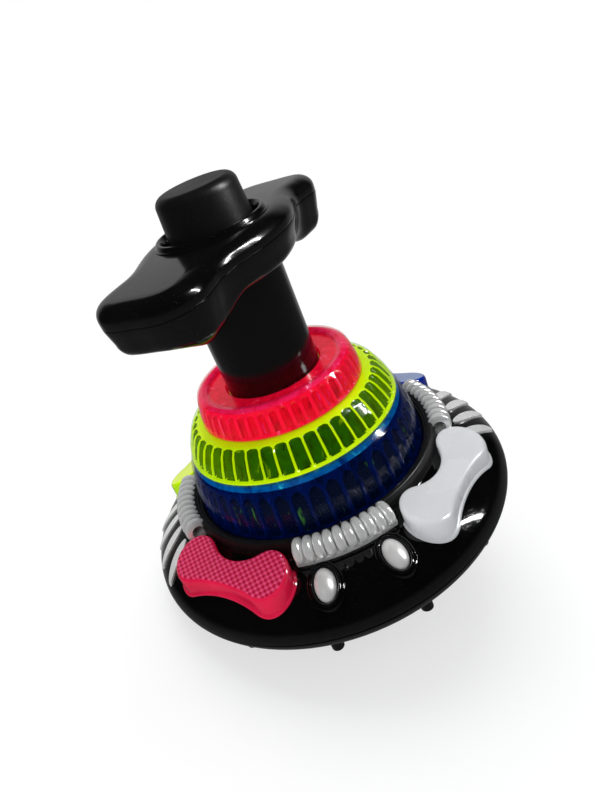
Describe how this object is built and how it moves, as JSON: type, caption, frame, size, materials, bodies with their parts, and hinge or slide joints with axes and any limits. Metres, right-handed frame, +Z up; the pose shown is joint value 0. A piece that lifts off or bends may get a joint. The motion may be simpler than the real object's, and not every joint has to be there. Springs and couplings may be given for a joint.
{
  "type": "spinning top",
  "caption": "Light-up spinning top with stacked coloured tiers and a lift-off T-handle launcher that winds up and lets go at the press of a button.",
  "frame": {"origin": "the lowest point of the spin tip, on the spin axis", "axes": "+Z up the spin axis towards the button; -Y towards the faux spring between the red and the milky lens; the handle's long axis lies 54 degrees anticlockwise from +X"},
  "size_m": [0.09, 0.09, 0.1059],
  "materials": {
    "black_gloss": "moulded, polished",
    "black_satin": "moulded, satin",
    "pink_clear": "transparent tinted",
    "yellow_clear": "transparent fluorescent",
    "blue_clear": "transparent tinted",
    "red_clear": "transparent with a reflector pattern",
    "white_clear": "translucent milky",
    "silver_trim": "vacuum-metallised silver",
    "steel": "bright zinc",
    "board_green": "lacquered board",
    "lamp_clear": "clear resin",
    "white_plastic": "natural acetal"
  },
  "bodies": {
    "top": {"upper_shell": "black_gloss", "lower_shell": "black_gloss", "spin_tip": "steel", "shell_screws": "steel", "battery_door": "black_gloss", "door_screw": "steel", "battery_cells": "steel", "battery_contacts": "steel", "circuit_board": "board_green", "board_screws": "steel", "chip_blob": "black_satin", "leds": "lamp_clear", "vibration_switch": "steel", "speaker": "black_satin", "launch_socket": "black_satin", "socket_screws": "steel", "tier_blue": "blue_clear", "tier_yellow": "yellow_clear", "tier_pink": "pink_clear", "lens_red": "red_clear", "lens_white": "white_clear", "lens_blue": "blue_clear", "lens_yellow": "yellow_clear", "coil_trim_front": "silver_trim", "coil_trim_right": "silver_trim", "coil_trim_back": "silver_trim", "coil_trim_left": "silver_trim", "oval_stud_front_1": "silver_trim", "oval_stud_front_2": "silver_trim", "oval_stud_back_1": "silver_trim", "oval_stud_back_2": "silver_trim", "vent_trim_right": "silver_trim", "vent_trim_left": "silver_trim"},
    "drive": {"drive_rotor": "white_plastic", "ratchet_wheel": "white_plastic"},
    "launcher": {"barrel": "black_satin", "barrel_bush": "white_plastic", "spring_seat": "white_plastic", "wind_spring": "steel", "ratchet_pawl": "white_plastic", "handle_lower": "black_gloss", "handle_upper": "black_gloss", "handle_screws": "steel", "button_collar": "black_gloss", "button_spring": "steel"},
    "button": {"release_button": "black_satin", "push_rod": "steel"}
  },
  "joints": [
    {"name": "launcher_lift", "type": "slide", "parent": "top", "child": "drive", "axis": [0, 0, 1], "range_m": [0, 0.06]},
    {"name": "wind_turn", "type": "hinge", "parent": "drive", "child": "launcher", "pos_m": [0, 0, 0.07], "axis": [0, 0, 1], "range_deg": [0, 810]},
    {"name": "button_press", "type": "slide", "parent": "launcher", "child": "button", "axis": [0, 0, -1], "range_m": [0, 0.003], "stiffness_N_per_m": 300, "springref_m": -0.004, "deforming": ["button_spring"]}
  ]
}
